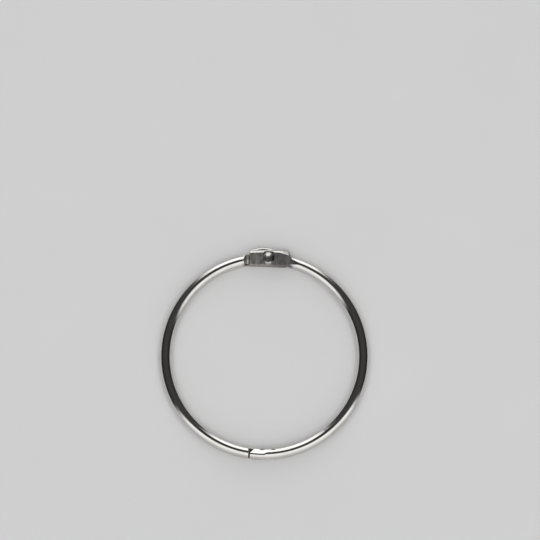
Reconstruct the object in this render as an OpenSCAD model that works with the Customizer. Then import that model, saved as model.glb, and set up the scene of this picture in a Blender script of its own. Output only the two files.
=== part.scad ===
// Hinged binder ring: two half rings of round wire, riveted together at one end and
// hooked together at the other.
//
// The ring lies flat. Its axis is +Z, the rivet is at +Y and the clasp at -Y. The
// origin is the centre of the ring, in the middle plane of the wire. Both halves are
// the same pressing: the left one is the right one turned over about the Y axis.

/* [Ring] */
// Inside diameter of the closed ring
inside_d = 50.8; // [38:0.2:76]
// Diameter of the round wire
wire_d = 3.2; // [2.8:0.1:4]

/* [Hinge] */
// Width of a flattened lobe, across the wire
lobe_w = 4.2; // [3.8:0.1:5]
// Reach of a lobe, from the middle of the rivet to its free end
lobe_reach = 5.3; // [4.2:0.1:6]
// Depth of the pressed faces below the crown of the wire
press_depth = 0.32; // [0.1:0.02:0.5]
// Length past the lobe over which its pressed face runs out into the wire
runout_len = 2.6; // [1.8:0.1:4]
// Length past the lobe at which its sides have narrowed to the wire
neck_past = 1.2; // [0.8:0.1:1.8]
// Length over which the front lobe's sides narrow
front_neck_len = 1.3; // [0.8:0.1:2]
// Length over which the rear lobe's sides narrow
rear_neck_len = 2.2; // [0.8:0.1:2.4]
// Length of the slope from the middle plane up to the surface of the wire
shoulder_run = 0.5; // [0.3:0.1:1.6]
// Extra width of the rear lobe, on the outside of the ring
rear_bulge_w = 1.2; // [0:0.05:1.5]
// Extra width of the front lobe, on the outside of the ring
front_bulge_w = 0.3; // [0:0.05:0.5]
// Width over which each lobe's outside edge is bevelled
bevel_w = 0.65; // [0.4:0.05:1]
// Radius of the rounded edge round a lobe's free end
end_round = 0.5; // [0.2:0.05:0.8]

/* [Rivet] */
// Diameter of the shank
shank_d = 2; // [1.6:0.1:2.4]
// Diameter of the peened front head
front_head_d = 3.5; // [2.8:0.1:3.8]
// Height of the peened front head
front_head_h = 1.15; // [0.6:0.05:1.3]
// Distance of the front head's middle from the rivet's axis, away from the ring
head_shift = 0.2; // [0:0.05:0.3]
// Radius of the front head's low crown
crown_r = 3.8; // [3:0.1:6]
// Distance of the crown's top from the rivet's axis, towards the middle of the ring
crown_lean = 0.6; // [0:0.05:0.7]
// Radius of the front head's rounded rim
rim_r = 0.8; // [0.3:0.05:1]
// Diameter of the low rear head
rear_head_d = 3; // [2.6:0.1:3.8]
// Height of the low rear head
rear_head_h = 0.28; // [0.1:0.02:0.4]

/* [Clasp] */
// Length of the lap where one end lies over the other
lap_len = 6; // [5:0.2:9]
// Height of each hook, from the middle plane
hook_h = 0.4; // [0.2:0.05:0.6]
// Length of the ramp between hook and recess
ramp_len = 0.7; // [0.4:0.1:1.2]
// Length of the corner cut off each tongue, along the ring
corner_len = 1.3; // [0.6:0.1:1.8]
// Width of the corner cut off each tongue, across the wire
corner_w = 1.45; // [0.5:0.05:1.6]

/* [Fits] */
// Gap between the two lobes, and between the two tongues
lap_gap = 0.06; // [0.02:0.02:0.12]
// Clearance round the shank in its bores
shank_gap = 0.05; // [0.02:0.01:0.1]
// Gap under the front head
head_gap = 0.03; // [0.01:0.01:0.06]
// Gap between a lobe's free end and the shoulder that it faces
lobe_end_gap = 0.7; // [0.1:0.05:1]
// Gap between a tongue's tip and the shoulder that it faces
tip_gap = 0.35; // [0.1:0.05:0.5]

/* [Hidden] */

nickel = [0.74, 0.72, 0.68];
rivet_nickel = [0.62, 0.60, 0.57];

wire_r = wire_d / 2;
// The wire's centreline, which passes through the rivet
ring_r = inside_d / 2 + wire_r;
// Height of a pressed face above the middle plane
press_z = wire_r - press_depth;
// Where a lobe's sides have narrowed to the wire, and where its pressed face has run out
// and the plain round wire begins, along X from the rivet
neck_end = lobe_reach + neck_past;
join_x = lobe_reach + max(runout_len, neck_past);
// The pressed face is level as far as this, to seat the rivet's heads
seat_margin = 0.6;
level_x = max(front_head_d, rear_head_d) / 2 + seat_margin;

// Squareness of a section's corners: 2 is round, and more is squarer. A lobe is squarer
// on the inside of the ring.
round_n = 2;
outer_n = 2.8;
inner_n = 5;
// A lobe's bulge: its extra width, where it is widest, half its length, and its neck's length
rear_bulge = [rear_bulge_w, 0.23 * lobe_reach, 0.9 * lobe_reach, rear_neck_len];
front_bulge = [front_bulge_w, 0.6 * lobe_reach, 2 * lobe_reach, front_neck_len];
// Slope of the bevel. Its edge moves inwards by this much on the way to the neck, from
// this share of the lobe's reach onwards.
bevel_slope = 0.73;
bevel_shift = 0.4;
bevel_from = 0.6;
// How late the pressed face rises to the wire's surface: a higher power is later
press_power = 3.5;

// Half the lap. Its ends are cut square across it.
lap_x = lap_len / 2;
lap_angle = asin(lap_x / (ring_r - wire_r));

// The neck's root reaches this far into the wire. It is thinner than the wire by a hair
// where it enters, and by more at its end.
root_len = 1;
root_hair = 0.004;
root_taper = 0.3;

section_points = 32;
lobe_step = 0.6;
neck_step = 0.25;
// Cutting tools reach this far past what they cut
over = 1;
smooth = 96;

section_turns = [for (j = [0 : section_points - 1]) j * 360 / section_points];

function mix(a, b, share) = a + (b - a) * share;
function ease(share) = let (s = min(max(share, 0), 1)) s * s * (3 - 2 * s);
function signed_pow(value, power) = sign(value) * pow(abs(value), power);

// How far the section at x is a lobe (1) or plain round wire (0)
function lobe_share(x, bulge) = ease((neck_end - x) / bulge[3]);

// Height at which the section at x is pressed flat
function press_level(x) =
    let (run = min(max((x - level_x) / (join_x - level_x), 0), 1))
    mix(press_z, wire_r, pow(run, press_power));

// Outside edge of a lobe, from the rivet's line: the bulge dies out smoothly both ways
function lobe_edge(x, bulge) =
    lobe_w / 2 + bulge[0] * pow(max(1 - pow((x - bulge[1]) / bulge[2], 2), 0), 2);

// Height of the outside bevel at a distance y from the ring's axis
function bevel_level(x, y, bulge) =
    let (
        shift = bevel_shift * ease((x / lobe_reach - bevel_from) / (1 - bevel_from)),
        edge = ring_r + lobe_edge(x, bulge) - bevel_w - shift
    )
    press_z - bevel_slope * max(y - edge, 0);

// A point of the bent wire's surface, where the plane at x cuts it
function wire_y(x, turn, r) = sqrt(pow(ring_r + r * cos(turn), 2) - x * x);

// Squareness of a lobe's section at a turn
function lobe_n(turn) = cos(turn) > 0 ? outer_n : inner_n;

// The same point on the widened lobe
function lobe_y(x, turn, bulge) =
    let (outer = lobe_edge(x, bulge), inner = -lobe_w / 2)
    ring_r + (outer + inner) / 2 + (outer - inner) / 2 * signed_pow(cos(turn), 2 / lobe_n(turn));

function hinge_point(x, turn, bulge) =
    let (
        share = lobe_share(x, bulge),
        n = mix(round_n, lobe_n(turn), share),
        y = mix(wire_y(x, turn, wire_r - root_hair), lobe_y(x, turn, bulge), share),
        z = (wire_r - root_hair) * signed_pow(sin(turn), 2 / n)
    )
    [x, y, min(z, press_level(x), mix(z, min(z, bevel_level(x, y, bulge)), share))];

// A point of the slightly thinner root that joins the neck to the wire, inside it
function root_point(x, turn, r) = [x, wire_y(x, turn, r), r * sin(turn)];

// Places along X of the hinge end's sections, closer together on the neck
function steps(from, to, size) =
    let (count = ceil((to - from) / size))
    [for (i = [0 : count - 1]) mix(from, to, i / count)];

hinge_stations = concat(
    steps(-lobe_reach - over / 2, lobe_reach - lobe_step, lobe_step),
    steps(lobe_reach - lobe_step, join_x, neck_step),
    [join_x]
);

// Skin over a row of sections that all have the same number of points
module loft(sections) {
    rows = len(sections);
    cols = len(sections[0]);
    sides = [
        for (i = [0 : rows - 2], j = [0 : cols - 1])
            let (a = i * cols + j, b = i * cols + (j + 1) % cols)
            each [[a, a + cols, b], [b, a + cols, b + cols]]
    ];
    first_cap = [for (j = [0 : cols - 1]) j];
    last_cap = [for (j = [cols - 1 : -1 : 0]) (rows - 1) * cols + j];
    polyhedron(
        points = [for (section = sections) each section],
        faces = concat(sides, [first_cap, last_cap]),
        convexity = 4
    );
}

// Flattened lobe and neck, before its pocket and bore are cut
module hinge_end(bulge) {
    difference() {
        loft(concat(
            [for (x = hinge_stations) [for (turn = section_turns) hinge_point(x, turn, bulge)]],
            [[for (turn = section_turns) root_point(join_x + neck_step, turn, wire_r - root_hair)]],
            [[for (turn = section_turns) root_point(join_x + root_len, turn, wire_r - root_taper)]]
        ));
        difference() {
            translate([-lobe_reach - 2 * over, ring_r - lobe_w, -wire_r - over])
                cube([lobe_reach / 2 + 2 * over, 2 * lobe_w, wire_d + 2 * over]);
            free_end_form();
        }
    }
}

// What is left of a lobe's free end: an arc about the rivet with a rounded upper edge
module free_end_form() {
    translate([0, ring_r, 0])
        rotate_extrude($fn = smooth) {
            translate([0, -wire_r - 2 * over])
                square([lobe_reach, wire_r + 2 * over + press_z - end_round]);
            translate([0, -wire_r - 2 * over])
                square([lobe_reach - end_round, wire_d + 4 * over]);
            translate([lobe_reach - end_round, press_z - end_round])
                circle(r = end_round, $fn = smooth);
        }
}

// Round wire from the neck to the tip of the clasp's tongue
module wire_arc() {
    intersection() {
        rotate([0, 0, -90 - lap_angle])
            rotate_extrude(angle = 180 + lap_angle, $fn = smooth)
                translate([ring_r, 0])
                    circle(r = wire_r, $fn = smooth);
        union() {
            translate([join_x + neck_step / 2, -over, -wire_r - over])
                cube([ring_r + over, ring_r + wire_d, wire_d + 2 * over]);
            translate([-lap_x, -ring_r - wire_d, -wire_r - over])
                cube([ring_r + wire_d + lap_x, ring_r + wire_d, wire_d + 2 * over]);
        }
    }
}

// Room under the lobe for the other half's lobe: a pocket with a sloped wall
module lobe_pocket() {
    slope = shoulder_run / wire_r;
    floor_z = lap_gap / 2;
    depth = floor_z + wire_r + over;
    wall_r = lobe_reach + lobe_end_gap;
    translate([0, ring_r, floor_z - depth])
        cylinder(h = depth, r1 = wall_r + slope * depth, r2 = wall_r, $fn = smooth);
}

module shank_bore() {
    translate([0, ring_r, -wire_r - over])
        cylinder(h = wire_d + 2 * over, r = shank_d / 2 + shank_gap, $fn = smooth);
}

// Room under the tongue for the other half's tongue. The split steps from below the
// middle plane at the tip to above it at the root, so that the two tongues hook.
module tongue_pocket() {
    reach = lap_len;
    depth = wire_r + over;
    half_gap = lap_gap / 2;
    ramp_x = ramp_len / 2;
    intersection() {
        translate([0, -ring_r + wire_d, 0])
            rotate([90, 0, 0])
                linear_extrude(2 * wire_d)
                    polygon([
                        [-reach, -hook_h + half_gap],
                        [-ramp_x - half_gap, -hook_h + half_gap],
                        [ramp_x - half_gap, hook_h + half_gap],
                        [reach, hook_h + half_gap],
                        [reach, -depth],
                        [-reach, -depth]
                    ]);
        translate([lap_x + tip_gap - 2 * reach, -ring_r - wire_d, -2 * depth])
            cube([2 * reach, 2 * wire_d, 4 * depth]);
    }
}

// Cut across the inner corner of the tongue's tip
module tongue_corner() {
    inner_y = -sqrt(pow(ring_r - wire_r, 2) - lap_x * lap_x);
    translate([-lap_x, inner_y, -wire_r - over])
        linear_extrude(wire_d + 2 * over)
            polygon([
                [-corner_len, -2 * corner_w],
                [2 * corner_len, corner_w],
                [-corner_len, corner_w]
            ]);
}

// One half ring, with its lobe and its tongue in the upper layer
module half_ring(bulge) {
    difference() {
        union() {
            wire_arc();
            hinge_end(bulge);
        }
        lobe_pocket();
        shank_bore();
        tongue_pocket();
        tongue_corner();
    }
}

module right_half_ring() {
    color(nickel)
        half_ring(front_bulge);
}

module left_half_ring() {
    color(nickel)
        rotate([0, 180, 0])
            half_ring(rear_bulge);
}

// Cap of a ball, standing on the plane z = 0
module dome(d, h) {
    ball_r = (d * d / 4 + h * h) / (2 * h);
    intersection() {
        translate([0, 0, h - ball_r])
            sphere(r = ball_r, $fn = smooth);
        cylinder(h = h + over, d = d + over, $fn = smooth);
    }
}

// Head that was peened over: a rounded button under a low crown, which leans
module peened_head() {
    button_r = front_head_d / 2;
    intersection() {
        translate([0, head_shift, 0])
            rotate_extrude($fn = smooth) {
                square([button_r, front_head_h - rim_r]);
                square([button_r - rim_r, front_head_h]);
                translate([button_r - rim_r, front_head_h - rim_r])
                    intersection() {
                        circle(r = rim_r, $fn = smooth);
                        square(rim_r);
                    }
            }
        translate([0, -crown_lean, front_head_h - crown_r])
            sphere(r = crown_r, $fn = smooth);
    }
}

module hinge_rivet() {
    front_seat = press_z + head_gap;
    color(rivet_nickel)
        translate([0, ring_r, 0]) {
            translate([0, 0, -press_z])
                cylinder(h = press_z + front_seat, d = shank_d, $fn = smooth);
            translate([0, 0, front_seat])
                peened_head();
            translate([0, 0, -press_z])
                mirror([0, 0, 1])
                    dome(rear_head_d, rear_head_h);
        }
}

left_half_ring();
right_half_ring();
hinge_rivet();
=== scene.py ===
import math
from collections import namedtuple

import bmesh
import bpy
import numpy as np
from mathutils import Matrix, Vector


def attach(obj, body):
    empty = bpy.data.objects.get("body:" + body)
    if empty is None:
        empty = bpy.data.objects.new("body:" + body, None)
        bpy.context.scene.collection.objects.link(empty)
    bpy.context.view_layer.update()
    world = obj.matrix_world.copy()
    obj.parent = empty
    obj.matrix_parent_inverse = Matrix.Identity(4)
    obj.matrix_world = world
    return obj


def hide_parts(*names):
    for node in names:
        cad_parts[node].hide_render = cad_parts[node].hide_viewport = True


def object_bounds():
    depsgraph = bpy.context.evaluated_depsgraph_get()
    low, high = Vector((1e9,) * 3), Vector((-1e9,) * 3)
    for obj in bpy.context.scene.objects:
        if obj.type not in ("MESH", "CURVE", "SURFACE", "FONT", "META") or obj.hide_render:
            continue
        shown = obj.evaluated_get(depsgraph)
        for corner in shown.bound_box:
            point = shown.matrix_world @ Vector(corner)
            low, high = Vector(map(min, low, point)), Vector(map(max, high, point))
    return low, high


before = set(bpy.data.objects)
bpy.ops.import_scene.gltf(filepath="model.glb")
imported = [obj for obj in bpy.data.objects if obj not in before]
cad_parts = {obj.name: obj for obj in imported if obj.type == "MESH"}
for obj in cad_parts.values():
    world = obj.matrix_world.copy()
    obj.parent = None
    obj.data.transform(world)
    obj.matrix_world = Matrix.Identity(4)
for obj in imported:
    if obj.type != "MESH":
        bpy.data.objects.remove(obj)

cad_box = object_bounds()

MM = 0.001

# ---------------------------------------------------------------------------
# Sizes in millimetres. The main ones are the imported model's. The outlines of the lobes and of the
# rivet's front head, the corner cuts and the rounded edges follow the photo more closely.
# ---------------------------------------------------------------------------
RING_R = 27.0              # the wire's centreline, which passes through the rivet
WIRE_R = 1.6

LOBE_HALF = 2.1            # half the width of a lobe without its bulge
LOBE_REACH = 5.3           # from the rivet to a lobe's free end
INNER_POWER = 6.5          # how square a lobe's section is on the ring's inside
OUTER_POWER = 2.8          # and on its outside
PRESS_Z = 1.28             # pressed faces, above the middle plane
LEVEL_X = 2.35             # where the pressed face starts to rise towards the wire
RISE_POWER = 3.5
JOIN_X = 7.9               # where the plain wire begins
RISE_END_X = JOIN_X + 0.2  # where the pressed face has left the wire
RISE_END_Z = WIRE_R + 0.05
PRESS_END_X = JOIN_X + 0.6
NECK_END = 6.85            # where a lobe's sides have narrowed to the wire
END_STRETCH = 0.5          # makes the free end straighter towards the ring's inside

# outside edge of a lobe: extra width, where it is widest, half its length, length of the neck
Bulge = namedtuple("Bulge", "extra widest half_length neck")
FRONT_BULGE = Bulge(extra=0.45, widest=2.2, half_length=10.0, neck=1.5)
REAR_BULGE = Bulge(extra=1.17, widest=1.15, half_length=5.1, neck=2.5)

BEVEL = math.radians(36.0)
BEVEL_W = 0.78             # from the lobe's outside edge in to the bevel's start
NECK_BEVEL_W = 0.42        # what is added to that at the neck
NECK_BEVEL_X = (3.0, 5.0)

HALF_GAP = 0.03            # half the gap between the two halves
POCKET_R = 6.0             # foot of the shoulder facing the other lobe
SLOPE = 0.5 / WIRE_R       # run of that shoulder for each mm of height
SHOULDER_OUTSIDE_Y = (1.6, 2.2)  # its outside edge is rounder here, from the rivet's line
SHOULDER_OUTSIDE_X = (4.6, 3.6)

HOOK_H = 0.4               # the lap's split lies this far above or below the middle plane
RAMP_HALF = 0.35           # half the length of the ramp between the two
LAP_X = 3.0                # half the lap, whose ends are cut square across it
TIP_GAP = 0.35
CORNER_LEN = 1.5           # corner cut off each tongue's tip
CORNER_W = 1.65
CLASP_Y = -20.0            # the clasp lies beyond this

FLAT_LEAN = math.radians(23.0)   # die's flat on the inner side of the front tongue
FLAT_DEPTH = 0.19
FLAT_END_DEPTH = -0.12     # it has left the wire here
FLAT_RUN_OUT = (0.7, 2.1)  # along the wire from the middle of the clasp

# dents on the inner side of the front tongue
Dent = namedtuple("Dent", "x y z length width depth")
DENTS = (
    Dent(x=0.3, y=-25.76, z=0.98, length=0.6, width=0.2, depth=0.16),
    Dent(x=3.4, y=-25.7, z=0.98, length=0.45, width=0.18, depth=0.14),
)
DENT_HEIGHT = 0.4

UNEVENNESS = 0.006         # surfaces wander this far each way, and lie that much further in
WAVE = 7.0                 # distance over which they do

# how widely edges are rounded
BEVEL_ROUND = 0.2
PRESS_ROUND = 0.12
END_ROUND = 0.4
POCKET_ROUND = 0.5
SHOULDER_ROUND = 0.2
SHOULDER_OUTSIDE_ROUND = 0.53
LAP_ROOT_ROUND = 0.06
SPLIT_ROUND = 0.12
TIP_ROUND = 0.2
CORNER_ROUND = 0.16
FLAT_ROUND = 0.22

SHANK_R = 1.0
BORE_R = 1.05
HEAD_SEAT = 1.31           # under side of the front head
EDGE_H = 0.07              # height of the front head's rim under its brim
BRIM_H = 0.3
DOME_H = 1.07
# the front head, from the rivet's axis: its rim, the foot of its dome, and the crown's top
HEAD_MIDDLE = (0.18, 0.13)
HEAD_HALF = (1.58, 1.98)
DOME_MIDDLE = (0.11, -0.1)
DOME_HALF = (1.51, 1.75)
CROWN_TOP = (-0.03, -0.67)
RIM_POWER = 4.2            # how square the rim is on its outer side
BRIM_POWER = 26
DOME_POWER = 0.57
# how far the dome has fallen halfway to its foot, before that power, outwards and inwards
DOME_FALL = (0.233, 0.0085)
DOME_CHANGE = (0.9, -0.6)  # outward parts of the directions between which that changes
DOME_OUTER_POWER = 0.4     # makes its foot steeper outwards
BRIM_ROUND = 0.08
RIM_UNDER = ((0.995, 0.03), (0.97, 0.0))    # rings under its edge: share of the rim, height
SEAT_FILLET = 0.04         # from the shank to the front head
REAR_HEAD_R = 1.5
REAR_HEAD_H = 0.28
REAR_EDGE_H = 0.04
REAR_EDGE_W = 0.05
REAR_OUT_POWER = 0.8       # below 1, its dome is flatter in the middle
REAR_UP_POWER = 1.1        # above 1, it falls off sooner

RAYS = 128                 # points in each section of a half ring
SAMPLE = 0.06              # step along a ray in the first search
RAY_LIMIT = 3.6            # the skin is nowhere further from the spine
HALVINGS = 16
RIVET_POINTS = 144         # in each of its rings
# rings of the front head, as shares of the way to its rim: they are closer together there
HEAD_SHARES = (*np.linspace(0.02, 0.7, 40), *(1.0 - 0.3 * np.linspace(0.97, 0.0, 48) ** 1.7))
REAR_ANGLES = np.linspace(86.0, 6.0, 13)    # rings of the rear head, from its rim, in degrees
AWAY = -9.0                # a distance that cuts nothing


# ---------------------------------------------------------------------------
# Small helpers
# ---------------------------------------------------------------------------
def ease(t):
    t = np.clip(t, 0.0, 1.0)
    return t * t * (3.0 - 2.0 * t)


def ramp(value, start, end):
    """Smooth rise from 0 to 1, as value goes from start to end."""
    return ease((value - start) / (end - start))


def mix(a, b, share):
    return a + (b - a) * share


def round_max(a, b, k):
    """Larger of two distances, with the edge between them rounded over k."""
    h = np.maximum(k - np.abs(a - b), 0.0) / k
    return np.maximum(a, b) + h * h * k * 0.25


def waves(x, y, z, seed, wavelength):
    """Slow smooth unevenness from -1 to 1: a few plane waves in fixed random directions."""
    draw = np.random.default_rng(seed)
    count = 5
    total = 0.0
    for _ in range(count):
        d = draw.normal(size=3)
        d = d / np.linalg.norm(d) * 2.0 * math.pi / (wavelength * draw.uniform(0.8, 1.4))
        total = total + np.sin(d[0] * x + d[1] * y + d[2] * z + draw.uniform(0.0, 6.28))
    return total / count


# ---------------------------------------------------------------------------
# The form of a half ring, as a distance from its surface: below 0 inside it.
# It is written for the half whose lobe and tongue are in the upper layer.
# ---------------------------------------------------------------------------
def lobe_edge(x, bulge):
    """Outside edge of a lobe, from the rivet's line."""
    from_widest = (x - bulge.widest) / bulge.half_length
    return LOBE_HALF + bulge.extra * np.maximum(1.0 - from_widest ** 2, 0.0) ** 2


def lobe_share(x, bulge):
    """How far the section at x is a lobe (1) or plain round wire (0)."""
    return ramp(x, NECK_END, NECK_END - bulge.neck)


def bevel_edge(x, bulge):
    """Where the outside bevel starts, from the rivet's line: it moves inwards at the neck."""
    return lobe_edge(x, bulge) - BEVEL_W - NECK_BEVEL_W * ramp(x, *NECK_BEVEL_X)


def rivet_distance(x, y):
    """Distance from the rivet, of which the part towards the ring's inside counts less."""
    return np.hypot(x, (y - RING_R) * np.where(y < RING_R, END_STRETCH, 1.0))


def lobe_form(x, y, z, bulge):
    """A rounded oblong section, bevelled on the outside of the ring."""
    outer = lobe_edge(x, bulge)
    middle = RING_R + (outer - LOBE_HALF) / 2.0
    half = (outer + LOBE_HALF) / 2.0
    n = np.where(y > middle, OUTER_POWER, INNER_POWER)
    lobe = ((np.abs((y - middle) / half) ** n + np.abs(z / WIRE_R) ** n) ** (1.0 / n) - 1.0) * WIRE_R
    bevel = (y - RING_R - bevel_edge(x, bulge)) * math.sin(BEVEL) + (z - PRESS_Z) * math.cos(BEVEL)
    return round_max(lobe, bevel, BEVEL_ROUND)


def pressed_face(x, y, z):
    """What the die takes off the upper side: it runs out into the wire."""
    run = np.clip((x - LEVEL_X) / (RISE_END_X - LEVEL_X), 0.0, 1.0)
    level = mix(PRESS_Z, RISE_END_Z, run ** RISE_POWER)
    return np.where((y > 0.0) & (x < PRESS_END_X), z - level, AWAY)


def other_lobe_room(x, y, z):
    """Room under the lobe for the other one, with its sloped shoulder."""
    cone = (rivet_distance(x, y) - POCKET_R - SLOPE * (HALF_GAP - z)) / math.hypot(1.0, SLOPE)
    return np.where(y > 0.0, -round_max(z - HALF_GAP, cone, POCKET_ROUND), AWAY)


def cut_clasp(form, x, y, z):
    """Cuts the half lap: its hooked split, its square tip, the tip's corner and the die's flat."""
    clasp = y < CLASP_Y
    split = np.clip(x / RAMP_HALF, -1.0, 1.0) * HOOK_H + HALF_GAP
    under = -round_max(z - split, x - LAP_X - TIP_GAP, LAP_ROOT_ROUND)
    form = round_max(form, np.where(clasp, under, AWAY), SPLIT_ROUND)
    form = round_max(form, np.where(clasp, -x - LAP_X, AWAY), TIP_ROUND)

    inner_y = -math.sqrt((RING_R - WIRE_R) ** 2 - LAP_X ** 2)
    steepness = CORNER_W / CORNER_LEN
    corner = (y - inner_y + CORNER_W - (x + LAP_X) * steepness) / math.hypot(1.0, steepness)
    form = round_max(form, np.where(clasp, corner, AWAY), CORNER_ROUND)

    along = np.arctan2(x, -y) * RING_R
    depth = mix(FLAT_DEPTH, FLAT_END_DEPTH, ramp(along, *FLAT_RUN_OUT))
    inwards = RING_R - np.hypot(x, y)
    flat = inwards * math.sin(FLAT_LEAN) + z * math.cos(FLAT_LEAN) - (WIRE_R - depth)
    return round_max(form, np.where(clasp, flat, AWAY), FLAT_ROUND)


def half_ring_form(x, y, z, bulge, seed, dents):
    wire = np.hypot(np.hypot(x, y) - RING_R, z) - WIRE_R
    share = np.where(y > 0.0, lobe_share(x, bulge), 0.0)
    form = mix(wire, lobe_form(x, y, z, bulge), share)
    form = round_max(form, pressed_face(x, y, z), PRESS_ROUND)

    free_end = np.where((x < 0.0) & (y > 0.0), rivet_distance(x, y) - LOBE_REACH, AWAY)
    form = round_max(form, free_end, END_ROUND)

    outside = ramp(y - RING_R, *SHOULDER_OUTSIDE_Y) * ramp(x, *SHOULDER_OUTSIDE_X)
    edge_round = mix(SHOULDER_ROUND, SHOULDER_OUTSIDE_ROUND, outside)
    form = round_max(form, other_lobe_room(x, y, z), edge_round)

    form = cut_clasp(form, x, y, z)
    for dent in dents:
        off = ((x - dent.x) / dent.length) ** 2 + ((y - dent.y) / dent.width) ** 2
        off = off + ((z - dent.z) / DENT_HEIGHT) ** 2
        form = form + dent.depth * np.exp(-off)
    return form + UNEVENNESS * (1.0 + waves(x, y, z, seed, WAVE))


# ---------------------------------------------------------------------------
# Sections along the half ring, and its skin, found by looking outwards from a spine
# ---------------------------------------------------------------------------
# angles about the ring's axis, from the rivet
WIRE_START = math.asin(JOIN_X / RING_R)
LAP_START = math.radians(166.0)
LAP_ROOT = math.pi - math.asin((LAP_X + TIP_GAP) / RING_R)
LAP_TIP = math.pi + math.asin(LAP_X / RING_R)

# steps between sections, in millimetres at the lobe and in radians further on
LOBE_STEP = 0.13
NECK_STEP = 0.05
JOIN_STEP = 0.1
WIRE_STEP = math.radians(0.6)
LAP_STEP = math.radians(0.16)
ROOT_STEP = 0.00075
ROOT_HALF = 0.008          # the lap's root lies within this of its angle
NECK_X = (4.2, 7.0)
END_TURNS = (1.2, 2.2, 3.4, *np.arange(5.0, 34.0, 1.6))       # round the free end, in degrees
FROM_TIP = (0.12, 0.095, 0.075, 0.058, 0.044, 0.032, 0.023, 0.017)

# the spine's height where only half the wire is left, and how high the rays spread there
ROOM_SPINE_Z = 0.64
ROOM_HIGH = 0.62
LAP_SPINE_Z = 1.0
LAP_HIGH = 0.75
HOOK_DROP = 0.35
CORNER_SHIFT = 0.55        # and how far it moves outwards past the corner cut

# where those changes take place, in millimetres from the rivet and then in radians
OVER_ROOM_X = (POCKET_R + 0.7, POCKET_R - 0.3)
TO_LAP = (LAP_ROOT - 0.02, LAP_ROOT)
TO_HOOK = (math.pi - 0.01, math.pi + 0.02)
TO_CORNER = (LAP_TIP - 0.09, LAP_TIP - 0.04)
# where the sections turn from across X to across the wire, and back again
TO_WIRE = (WIRE_START, WIRE_START + math.radians(14.0))
FROM_WIRE = (math.radians(148.0), LAP_START)


def spread(start, stop, step):
    """Even places from start up to stop, without stop itself."""
    return list(np.linspace(start, stop, max(2, int(round(abs(stop - start) / step)) + 1)))[:-1]


def section_angles():
    """Angle of each section about the ring's axis, and how many of the sections are the lobe's."""
    neck_start, neck_end = NECK_X
    end_x = -LOBE_REACH + 0.02
    lobe = [end_x * math.cos(math.radians(a)) for a in END_TURNS]
    lobe += spread(lobe[-1], neck_start, LOBE_STEP)
    lobe += spread(neck_start, neck_end, NECK_STEP)
    lobe += spread(neck_end, JOIN_X, JOIN_STEP)
    angles = [math.asin(x / RING_R) for x in lobe]
    angles += spread(WIRE_START, LAP_START, WIRE_STEP)
    angles += spread(LAP_START, LAP_ROOT - ROOT_HALF, LAP_STEP)
    angles += spread(LAP_ROOT - ROOT_HALF, LAP_ROOT + ROOT_HALF, ROOT_STEP)
    angles += spread(LAP_ROOT + ROOT_HALF, LAP_TIP - FROM_TIP[0] / RING_R, LAP_STEP)
    angles += [LAP_TIP - d / RING_R for d in FROM_TIP]
    return np.array(angles), len(lobe)


def half_ring_points(bulge, seed, dents):
    """Rows of points on the skin, one row for each section."""
    turn, lobe_count = section_angles()
    in_lobe = np.arange(len(turn)) < lobe_count
    x = RING_R * np.sin(turn)
    y = RING_R * np.cos(turn)

    # the spine lies inside what is left of the section
    outer = lobe_edge(x, bulge)
    share = np.where(in_lobe, lobe_share(x, bulge), 0.0)
    y = mix(y, RING_R + (outer - LOBE_HALF) / 2.0, share)
    over_room = np.where(in_lobe, ramp(x, *OVER_ROOM_X), 0.0)
    past_root = ramp(turn, *TO_LAP)
    z = ROOM_SPINE_Z * over_room + LAP_SPINE_Z * past_root - HOOK_DROP * ramp(turn, *TO_HOOK)
    y = y - CORNER_SHIFT * ramp(turn, *TO_CORNER)

    # how wide and how high the rays spread, so that they meet the skin evenly
    wide = mix(WIRE_R, (outer + LOBE_HALF) / 2.0, share)
    high = mix(mix(WIRE_R, ROOM_HIGH, over_room), LAP_HIGH, past_root)
    # sections stand across the wire, but across X at the lobe and at the lap
    lean = np.where(in_lobe, 0.0, turn * ramp(turn, *TO_WIRE))
    lean = mix(lean, math.pi, ramp(turn, *FROM_WIRE))
    t = np.linspace(0.0, 2.0 * math.pi, RAYS, endpoint=False)
    u = np.cos(t)[None, :] * wide[:, None]
    v = np.sin(t)[None, :] * high[:, None]
    size = np.hypot(u, v)
    dx = u / size * np.sin(lean)[:, None]
    dy = u / size * np.cos(lean)[:, None]
    dz = v / size
    sx, sy, sz = x[:, None], y[:, None], z[:, None]

    def form_at(r):
        return half_ring_form(sx + dx * r, sy + dy * r, sz + dz * r, bulge, seed, dents)

    # step outwards to the first crossing, then halve the gap
    near = np.zeros_like(u)
    far = np.full_like(u, RAY_LIMIT)
    found = np.zeros_like(u, bool)
    for k in range(1, int(RAY_LIMIT / SAMPLE) + 2):
        r = k * SAMPLE
        hit = (form_at(r) > 0.0) & ~found
        near = np.where(hit, r - SAMPLE, near)
        far = np.where(hit, r, far)
        found |= hit
        if found.all():
            break
    for _ in range(HALVINGS):
        r = (near + far) / 2.0
        inside = form_at(r) < 0.0
        near = np.where(inside, r, near)
        far = np.where(inside, far, r)
    r = (near + far) / 2.0
    return np.stack([sx + dx * r, sy + dy * r, sz + dz * r], axis=2)


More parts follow.
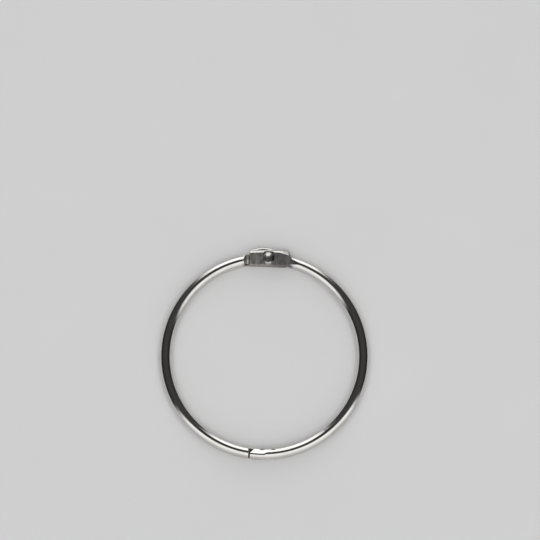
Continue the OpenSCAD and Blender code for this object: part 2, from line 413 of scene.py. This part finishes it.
# ---------------------------------------------------------------------------
# Meshes
# ---------------------------------------------------------------------------
def grid_mesh(name, points):
    """A closed tube of quads over rows of points in millimetres, with its two ends filled."""
    rows, cols, _ = points.shape
    i = np.arange(rows - 1)[:, None] * cols
    j = np.arange(cols)[None, :]
    k = (j + 1) % cols
    quads = np.stack([i + j, i + cols + j, i + cols + k, i + k], axis=2).reshape(-1, 4)
    faces = quads.tolist()
    faces.append(list(range(cols)))
    faces.append(list(range((rows - 1) * cols + cols - 1, (rows - 1) * cols - 1, -1)))
    mesh = bpy.data.meshes.new(name)
    mesh.from_pydata((points.reshape(-1, 3) * MM).tolist(), [], faces)
    mesh.validate()
    bm = bmesh.new()
    bm.from_mesh(mesh)
    bmesh.ops.recalc_face_normals(bm, faces=bm.faces)
    bm.to_mesh(mesh)
    bm.free()
    return mesh


def shade(mesh, degrees):
    """Smooth shading, with edges sharper than this left crisp."""
    bm = bmesh.new()
    bm.from_mesh(mesh)
    limit = math.radians(degrees)
    for f in bm.faces:
        f.smooth = True
    for e in bm.edges:
        e.smooth = len(e.link_faces) == 2 and e.calc_face_angle(0.0) < limit
    bm.to_mesh(mesh)
    bm.free()


def add_object(name, data):
    thing = bpy.data.objects.new(name, data)
    bpy.context.scene.collection.objects.link(thing)
    return thing


def bore(piece):
    """Cuts the rivet's hole through the lobe."""
    bm = bmesh.new()
    bmesh.ops.create_cone(
        bm, cap_ends=True, segments=96, radius1=BORE_R * MM, radius2=BORE_R * MM, depth=5 * MM,
        matrix=Matrix.Translation((0.0, RING_R * MM, 0.0)),
    )
    tool_mesh = bpy.data.meshes.new("bore_tool")
    bm.to_mesh(tool_mesh)
    bm.free()
    tool = add_object("bore_tool", tool_mesh)
    cut = piece.modifiers.new("bore", "BOOLEAN")
    cut.operation = "DIFFERENCE"
    cut.solver = "EXACT"
    cut.object = tool
    graph = bpy.context.evaluated_depsgraph_get()
    mesh = bpy.data.meshes.new_from_object(piece.evaluated_get(graph))
    piece.modifiers.clear()
    piece.data = mesh
    bpy.data.objects.remove(tool)


def make_half(name, node, body, material, bulge, turned, seed, dents):
    """One half ring; turned puts its lobe and tongue in the lower layer, on the other side."""
    points = half_ring_points(bulge, seed, dents)
    if turned:
        points = points * np.array([-1.0, 1.0, -1.0])
    piece = add_object(name, grid_mesh(name, points))
    bore(piece)
    shade(piece.data, 38.0)
    piece.data.materials.clear()
    piece.data.materials.append(material)
    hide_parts(node)
    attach(piece, body)


# ---------------------------------------------------------------------------
# The rivet, as rings of points from its front head to its rear head
# ---------------------------------------------------------------------------
def front_head_height(share, dome_share, up):
    """Height of the peened front head: a leaning dome, with a thin brim on its outer side.

    The shares run from the crown's top to the rim and to the dome's foot, and up is the
    outward part of their direction.
    """
    # round towards the outside and flat-topped towards the inside, turning evenly between them
    fall = mix(*DOME_FALL, ramp(up, *DOME_CHANGE))
    power = DOME_OUTER_POWER * np.maximum(up, 0.0) - np.log2(fall)
    dome = DOME_H * (1.0 - np.minimum(dome_share, 1.0) ** power) ** DOME_POWER
    brim = BRIM_H * (1.0 - share ** BRIM_POWER) ** 0.5
    return round_max(dome, brim, BRIM_ROUND)


def front_head_rings(t):
    """Rings that grow from the crown's top to the rim, and its under side."""
    cos, sin = np.cos(t), np.sin(t)
    power = np.where(sin > 0.0, 2.0 / RIM_POWER, 1.0)
    rim_x = HEAD_MIDDLE[0] + HEAD_HALF[0] * np.sign(cos) * np.abs(cos) ** power
    rim_y = HEAD_MIDDLE[1] + HEAD_HALF[1] * np.sign(sin) * np.abs(sin) ** power
    out_x, out_y = rim_x - CROWN_TOP[0], rim_y - CROWN_TOP[1]
    rim = np.hypot(out_x, out_y)
    # distance from the crown's top to the dome's foot, an ellipse, in the same directions
    ahead_x, ahead_y = out_x / rim / DOME_HALF[0], out_y / rim / DOME_HALF[1]
    off_x, off_y = [(CROWN_TOP[k] - DOME_MIDDLE[k]) / DOME_HALF[k] for k in (0, 1)]
    ahead2 = ahead_x ** 2 + ahead_y ** 2
    half_b = ahead_x * off_x + ahead_y * off_y
    foot = (np.sqrt(half_b ** 2 - ahead2 * (off_x ** 2 + off_y ** 2 - 1.0)) - half_b) / ahead2

    def ring(share, z):
        return np.stack([CROWN_TOP[0] + out_x * share, CROWN_TOP[1] + out_y * share, z], axis=1)

    rings = []
    for share in HEAD_SHARES:
        height = front_head_height(share, share * rim / foot, out_y / rim)
        rings.append(ring(share, HEAD_SEAT + EDGE_H + height))
    for share, height in RIM_UNDER:
        rings.append(ring(share, np.full(RIVET_POINTS, HEAD_SEAT + height)))
    return rings


def make_rivet(material):
    t = np.linspace(0.0, 2.0 * math.pi, RIVET_POINTS, endpoint=False)

    def level(radius, z):
        return np.stack([radius * np.cos(t), radius * np.sin(t), np.full(RIVET_POINTS, z)], axis=1)

    rings = front_head_rings(t)
    rings += [
        level(SHANK_R + SEAT_FILLET, HEAD_SEAT),
        level(SHANK_R, HEAD_SEAT - SEAT_FILLET),
        level(SHANK_R, -PRESS_Z),
        level(REAR_HEAD_R - REAR_EDGE_W, -PRESS_Z),
        level(REAR_HEAD_R, -PRESS_Z - REAR_EDGE_H),
    ]
    for a in np.radians(REAR_ANGLES):
        radius = REAR_HEAD_R * math.sin(a) ** REAR_OUT_POWER
        depth = (REAR_HEAD_H - REAR_EDGE_H) * math.cos(a) ** REAR_UP_POWER
        rings.append(level(radius, -PRESS_Z - REAR_EDGE_H - depth))
    points = np.stack(rings) + np.array([0.0, RING_R, 0.0])
    mesh = grid_mesh("hinge_rivet_peened", points)
    shade(mesh, 34.0)
    mesh.materials.append(material)
    piece = add_object("hinge_rivet_peened", mesh)
    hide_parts("hinge_rivet")
    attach(piece, "left_half")


# ---------------------------------------------------------------------------
# Shader nodes
# ---------------------------------------------------------------------------
class Nodes:
    """Short ways to add and join shader nodes."""

    def __init__(self, tree):
        self.tree = tree
        tree.nodes.clear()

    def add(self, kind, **values):
        node = self.tree.nodes.new(kind)
        for key, value in values.items():
            setattr(node, key, value)
        return node

    def join(self, source, target):
        self.tree.links.new(source, target)

    def put(self, socket, value):
        if isinstance(value, bpy.types.NodeSocket):
            self.join(value, socket)
        elif value is not None:
            socket.default_value = value

    def math(self, operation, *values):
        node = self.add("ShaderNodeMath", operation=operation)
        for socket, value in zip(node.inputs, values):
            self.put(socket, value)
        return node.outputs[0]

    def times(self, first, *others):
        for other in others:
            first = self.math("MULTIPLY", first, other)
        return first

    def length(self, a, b):
        squares = self.math("ADD", self.times(a, a), self.times(b, b))
        return self.math("SQRT", squares)

    def coordinates(self, kind):
        """The three parts of a place or a direction from a Texture Coordinate node."""
        parts = self.add("ShaderNodeSeparateXYZ")
        self.join(self.add("ShaderNodeTexCoord").outputs[kind], parts.inputs[0])
        return parts.outputs

    def vector(self, x, y, z):
        node = self.add("ShaderNodeCombineXYZ")
        for socket, value in zip(node.inputs, (x, y, z)):
            self.put(socket, value)
        return node.outputs[0]

    def step(self, value, low, high, to_low=0.0, to_high=1.0):
        """Smooth change from to_low to to_high, as value goes from low to high."""
        node = self.add("ShaderNodeMapRange", interpolation_type="SMOOTHSTEP")
        for socket, v in zip(node.inputs, (value, low, high, to_low, to_high)):
            self.put(socket, v)
        return node.outputs[0]

    def step_mm(self, value, low, high, to_low=0.0, to_high=1.0):
        return self.step(value, low * MM, high * MM, to_low, to_high)

    def step_deg(self, value, limits, to_low=0.0, to_high=1.0):
        low, high = [math.radians(a) for a in limits]
        return self.step(value, low, high, to_low, to_high)

    def noise(self, vector, scale, detail=2.0, rough=0.5):
        node = self.add("ShaderNodeTexNoise")
        self.put(node.inputs["Vector"], vector)
        node.inputs["Scale"].default_value = scale
        node.inputs["Detail"].default_value = detail
        node.inputs["Roughness"].default_value = rough
        return node.outputs["Fac"]

    def blend(self, factor, a, b):
        node = self.add("ShaderNodeMix", data_type="FLOAT")
        self.put(node.inputs[0], factor)
        self.put(node.inputs[2], a)
        self.put(node.inputs[3], b)
        return node.outputs[0]

    def colour(self, factor, a, b):
        node = self.add("ShaderNodeMix", data_type="RGBA")
        self.put(node.inputs[0], factor)
        self.put(node.inputs[6], a)
        self.put(node.inputs[7], b)
        return node.outputs[2]

    def bump(self, height, strength, under=None):
        node = self.add("ShaderNodeBump")
        self.put(node.inputs["Strength"], strength)
        node.inputs["Distance"].default_value = 0.02 * MM
        self.put(node.inputs["Height"], height)
        self.put(node.inputs["Normal"], under)
        return node.outputs[0]


# ---------------------------------------------------------------------------
# Materials. The places in the calls of step_mm are in the part's frame.
# ---------------------------------------------------------------------------
HALF_BRIGHT = (0.675, 0.66, 0.635, 1.0)
HALF_DULL = (0.50, 0.485, 0.455, 1.0)
HALF_POLISH = (0.075, 0.15)
RIVET_BRIGHT = (0.55, 0.54, 0.52, 1.0)
RIVET_DULL = (0.43, 0.42, 0.4, 1.0)
RIVET_POLISH = (0.2, 0.27)
# painted shade on a lobe's inner edge, on its left and on its right
EDGE_SHADE_LEFT = (0.28, 0.27, 0.255, 1.0)
EDGE_SHADE_RIGHT = (0.1, 0.095, 0.09, 1.0)
# painted highlight and painted shade on the two shoulders' outside edges
SHOULDER_HIGHLIGHT = (0.88, 0.86, 0.83, 1.0)
SHOULDER_SHADE = (0.33, 0.32, 0.305, 1.0)
# pressed face tones: painted shade makes the right ones darker, and the corner tone is a painted
# highlight
FACE_LEFT = ((0.27, 0.26, 0.245, 1.0), (0.46, 0.445, 0.42, 1.0))
FACE_RIGHT = ((0.19, 0.185, 0.175, 1.0), (0.34, 0.33, 0.315, 1.0))
FACE_CORNER = (0.66, 0.64, 0.61, 1.0)
# painted shade in the tongue's dents
DENT_SHADE = (0.13, 0.125, 0.12, 1.0)
# cut faces from dark to light, mixed by grain and by painted light towards the ring's inside
CUT_FACE = ((0.42, 0.41, 0.39, 1.0), (0.93, 0.91, 0.88, 1.0))
# painted highlight on the left half's outside edge
RIM_HIGHLIGHT = (0.95, 0.93, 0.9, 1.0)
# painted shade at the two sides of the rivet head's foot
FOOT_SHADE = (0.06, 0.057, 0.053, 1.0)


class Plating:
    """Bright plating, with its roughness between the two values of polish.

    Each mark is laid over the colour and roughness so far.
    """

    def __init__(self, name, bright, dull, polish):
        self.material = bpy.data.materials.new(name)
        self.material.use_nodes = True
        self.dull = dull
        self.n = n = Nodes(self.material.node_tree)
        self.x, self.y, self.z = n.coordinates("Object")
        self.whole = n.vector(self.x, self.y, self.z)

        # marks much longer than wide, along the wire
        radial = n.length(self.x, self.y)
        along = n.times(n.math("ARCTAN2", self.x, self.y), RING_R * MM)
        drawn = n.vector(n.times(along, 0.035), n.math("SUBTRACT", radial, RING_R * MM), self.z)
        scratches = n.noise(drawn, 16000.0, 3.0, 0.65)
        streaks = n.noise(drawn, 4200.0)
        patches = n.noise(self.whole, 190.0, 3.0, 0.55)
        self.colour = n.colour(n.times(n.step(patches, 0.42, 0.7), 0.35), bright, dull)
        scratched = n.step(scratches, 0.5, 0.8, 0.0, 0.06)
        self.rough = n.math("ADD", n.step(patches, 0.3, 0.75, *polish), scratched)
        height = n.math("ADD", n.times(scratches, 0.35), n.times(streaks, 0.65))
        self.bump = n.bump(height, 0.10)

    def lay(self, mask, colour, rough=None):
        self.colour = self.n.colour(mask, self.colour, colour)
        if rough is not None:
            self.rough = self.n.blend(mask, self.rough, rough)

    def finish(self):
        n = self.n
        shader = n.add("ShaderNodeBsdfPrincipled")
        shader.inputs["Metallic"].default_value = 1.0
        n.join(self.colour, shader.inputs["Base Color"])
        n.join(self.rough, shader.inputs["Roughness"])
        n.join(self.bump, shader.inputs["Normal"])
        n.join(shader.outputs[0], n.add("ShaderNodeOutputMaterial").inputs["Surface"])
        return self.material


def half_ring_material():
    """Both half rings: bright wire, with a dark brushed lobe and dull cut faces, and painted light
    and shade on edges, faces and dents.
    """
    plating = Plating("worn_nickel_painted_light", HALF_BRIGHT, HALF_DULL, HALF_POLISH)
    n, x, y, z, whole = plating.n, plating.x, plating.y, plating.z, plating.whole
    up = n.math("ABSOLUTE", n.coordinates("Normal")[2])
    off_y = n.math("SUBTRACT", y, RING_R * MM)
    reach = n.length(x, off_y)
    high = n.math("ABSOLUTE", z)
    near = n.step_mm(reach, 8.2, 6.0)

    # the die leaves the lobe and its neck less bright than the wire
    forged = n.step_mm(reach, 7.6, 5.6)
    mottle = n.noise(whole, 900.0)
    plating.lay(n.times(forged, n.step(mottle, 0.3, 0.7, 0.35, 0.85)), plating.dull)
    plating.rough = n.blend(forged, plating.rough, n.step(mottle, 0.3, 0.7, 0.17, 0.3))

    # painted shade on the lobe's inner edge, darker on the right
    edge = n.times(n.step_mm(off_y, -1.45, -1.8), n.step_mm(reach, 7.8, 6.0))
    plating.lay(edge, n.colour(n.step_mm(x, -1.5, 4.5), EDGE_SHADE_LEFT, EDGE_SHADE_RIGHT))

    # the outside edges of the two shoulders: a painted highlight on the left, painted shade on the
    # right
    outside = n.times(n.step_mm(off_y, 0.5, 0.9), n.step_mm(reach, 7.6, 6.6), n.step(up, 0.97, 0.88))
    plating.lay(n.times(outside, n.step_mm(x, -4.3, -4.9)), SHOULDER_HIGHLIGHT, 0.45)
    plating.lay(n.times(outside, n.step_mm(x, 3.6, 4.6)), SHOULDER_SHADE)

    # pressed face, brushed across the ring, with painted shade that darkens it to the right of the
    # rivet and a painted highlight at the lobe's inner left corner
    brushed = n.noise(n.vector(x, n.times(y, 0.07), n.times(z, 0.2)), 2600.0)
    blotch = n.noise(n.vector(x, n.times(y, 0.6), z), 1300.0)
    worn = n.step(n.blend(0.45, brushed, blotch), 0.36, 0.62)
    tone = n.colour(n.step_mm(x, 0.5, 3.0), n.colour(worn, *FACE_LEFT), n.colour(worn, *FACE_RIGHT))
    corner = n.times(n.step_mm(x, -4.1, -5.0), n.step_mm(off_y, -0.4, -1.1))
    tone = n.colour(corner, tone, FACE_CORNER)
    pressed = n.times(near, n.step(up, 0.96, 0.995), n.step_mm(high, 0.7, 1.1))
    plating.lay(pressed, tone, n.step(brushed, 0.3, 0.7, 0.38, 0.46))
    plating.bump = n.bump(brushed, n.times(pressed, 0.3), plating.bump)

    # painted shade in the tongue's dents
    for dent in DENTS:
        right = n.math("DIVIDE", n.math("SUBTRACT", x, dent.x * MM), 0.75 * MM)
        ahead = n.math("DIVIDE", n.math("SUBTRACT", y, dent.y * MM), 0.26 * MM)
        off = n.math("ADD", n.times(right, right), n.times(ahead, ahead))
        plating.lay(n.times(n.step(off, 1.0, 0.2), n.step_mm(z, 0.4, 0.6)), DENT_SHADE, 0.3)

    # cut faces in the middle plane, which are matt and grainy, with painted light that makes them
    # lighter towards the ring's inside
    cut = n.times(n.step_mm(high, 0.3, 0.15), n.step_mm(reach, 5.15, 5.3), near)
    cut = n.times(cut, n.step(up, 0.6, 0.9), n.step_mm(off_y, -1.8, -1.5))
    grain = n.math("ADD", n.noise(whole, 3200.0), n.step_mm(off_y, 1.0, -1.2, -0.28, 0.25))
    plating.lay(cut, n.colour(n.step(grain, 0.2, 0.8), *CUT_FACE), n.step(grain, 0.3, 0.7, 0.5, 0.62))

    # the left half's outside edge past the end of the other lobe: a painted highlight
    slant = n.math("SUBTRACT", off_y, n.times(x, 0.41))
    rim = n.times(n.step_mm(slant, 3.05, 3.35), n.step_mm(x, -4.5, -4.8), n.step_mm(reach, 7.2, 6.6))
    plating.lay(rim, RIM_HIGHLIGHT, 0.4)
    return plating.finish()


def rivet_material():
    """The rivet, with painted shade at the two sides of its front head's foot, stronger on the right.
    """
    plating = Plating("rivet_nickel", RIVET_BRIGHT, RIVET_DULL, RIVET_POLISH)
    n, x, y, z = plating.n, plating.x, plating.y, plating.z
    off_x = n.math("ABSOLUTE", n.math("SUBTRACT", x, 0.04 * MM))
    off_y = n.math("SUBTRACT", y, RING_R * MM)
    beside = n.times(n.step_mm(off_y, 1.1, 0.7), n.step_mm(off_y, -1.05, -0.75))
    foot = n.times(n.step_mm(off_x, 0.85, 1.15), beside, n.step_mm(z, 2.35, 2.1))
    # painted shade beside the head's foot, stronger on the right
    plating.lay(n.times(foot, n.step_mm(x, -0.5, 0.5, 0.5, 1.0)), FOOT_SHADE, 0.5)
    return plating.finish()


# ---------------------------------------------------------------------------
# Stage: floor, surroundings, fill light and camera
# ---------------------------------------------------------------------------
FLOOR_TONES = ((0.70, 0.70, 0.70, 1.0), (0.73, 0.73, 0.73, 1.0))
FLOOR_R = 3.0
PALE = 0.66                # what the camera sees beyond the floor

# the two soft boxes, in degrees: their tilt from overhead, and their reach to +X and to -X
FAR_TILT = (33.5, 41.5)
FAR_RIGHT = (33.0, 19.0)
FAR_LEFT = (-40.0, -26.0)
FAR_STRENGTH = 1.6
NEAR_TILT = (-3.5, -10.5)
NEAR_RIGHT = (82.0, 68.0)
NEAR_LEFT = (-70.0, -54.0)
NEAR_RISE = (-90.0, -25.0)      # tilts between which it grows brighter
NEAR_STRENGTH = (0.62, 1.2)
# the dark room beyond them, from its middle to its two sides
ROOM_SIDES = (0.45, 0.95)
ROOM_STRENGTH = (0.06, 0.025)

# the view: turn and height of the camera, and what it looks at, right and up in its picture
TURN = math.radians(2.09)
ELEVATION = math.radians(79.5)
AIM_RIGHT = 0.00153
AIM_UP = 0.02352
DISTANCE = 1.0
FRAME_WIDTH = 0.1474
SENSOR_MM = 36.0


def make_floor():
    material = bpy.data.materials.new("pale_floor")
    material.use_nodes = True
    n = Nodes(material.node_tree)
    grain = n.noise(n.vector(*n.coordinates("Object")), 40.0, 3.0)
    diffuse = n.add("ShaderNodeBsdfDiffuse")
    n.join(n.colour(grain, *FLOOR_TONES), diffuse.inputs["Color"])
    n.join(diffuse.outputs[0], n.add("ShaderNodeOutputMaterial").inputs["Surface"])

    under = Matrix.Translation((0.0, 0.0, cad_box[0].z))
    bm = bmesh.new()
    bmesh.ops.create_circle(bm, cap_ends=True, segments=96, radius=FLOOR_R, matrix=under)
    mesh = bpy.data.meshes.new("floor")
    bm.to_mesh(mesh)
    bm.free()
    mesh.materials.append(material)
    add_object("floor", mesh)


def make_surroundings():
    """Two large soft boxes, at +Y and -Y, with a dark gap between them overhead."""
    world = bpy.data.worlds.new("studio")
    bpy.context.scene.world = world
    world.use_nodes = True
    n = Nodes(world.node_tree)
    x, y, z = n.coordinates("Generated")
    tilt = n.math("ARCTAN2", y, z)
    round_far = n.math("ARCTAN2", x, y)
    round_near = n.math("ARCTAN2", x, n.times(y, -1.0))
    far_sides = n.times(n.step_deg(round_far, FAR_RIGHT), n.step_deg(round_far, FAR_LEFT))
    near_sides = n.times(n.step_deg(round_near, NEAR_RIGHT), n.step_deg(round_near, NEAR_LEFT))
    far_box = n.times(n.step_deg(tilt, FAR_TILT), far_sides, FAR_STRENGTH)
    near_strength = n.step_deg(tilt, NEAR_RISE, *NEAR_STRENGTH)
    near_box = n.times(n.step_deg(tilt, NEAR_TILT), near_sides, near_strength)
    dark_room = n.step(n.math("ABSOLUTE", x), *ROOM_SIDES, *ROOM_STRENGTH)
    light = n.math("ADD", n.math("ADD", far_box, near_box), dark_room)
    seen = n.blend(n.add("ShaderNodeLightPath").outputs["Is Camera Ray"], light, PALE)
    back = n.add("ShaderNodeBackground")
    back.inputs["Color"].default_value = (1.0, 1.0, 1.0, 1.0)
    n.join(seen, back.inputs["Strength"])
    n.join(back.outputs[0], n.add("ShaderNodeOutputWorld").inputs["Surface"])


def make_fill():
    """A large lamp overhead that lights the floor; the metal doesn't mirror it."""
    data = bpy.data.lights.new("fill", "AREA")
    data.shape = "DISK"
    data.size = 1.6
    data.energy = 5.6
    lamp = add_object("fill", data)
    lamp.location = (0.0, 0.0, 1.2)
    lamp.visible_glossy = False
    lamp.visible_camera = False


def make_camera():
    """Above the ring and a little to the clasp's side, at the turn at which the ring was taken."""
    right = Vector((math.cos(TURN), math.sin(TURN), 0.0))
    ahead = Vector((-math.sin(TURN), math.cos(TURN), 0.0))
    back = ahead * -math.cos(ELEVATION) + Vector((0.0, 0.0, math.sin(ELEVATION)))
    up = back.cross(right)
    data = bpy.data.cameras.new("camera")
    data.sensor_width = SENSOR_MM
    data.lens = SENSOR_MM * DISTANCE / FRAME_WIDTH
    data.clip_start, data.clip_end = 0.01, 20.0
    camera = add_object("camera", data)
    place = right * AIM_RIGHT + up * AIM_UP + back * DISTANCE
    axes = Matrix((right, up, back)).transposed().to_4x4()
    camera.matrix_world = Matrix.Translation(place) @ axes
    bpy.context.scene.camera = camera


nickel = half_ring_material()
rivet_nickel = rivet_material()
make_half(
    "left_half_ring_wire", node="left_half_ring", body="left_half", material=nickel,
    bulge=REAR_BULGE, turned=True, seed=11, dents=(),
)
make_half(
    "right_half_ring_wire", node="right_half_ring", body="right_half", material=nickel,
    bulge=FRONT_BULGE, turned=False, seed=12, dents=DENTS,
)
make_rivet(rivet_nickel)
make_floor()
make_surroundings()
make_fill()
make_camera()
bpy.context.scene.view_settings.view_transform = "Standard"
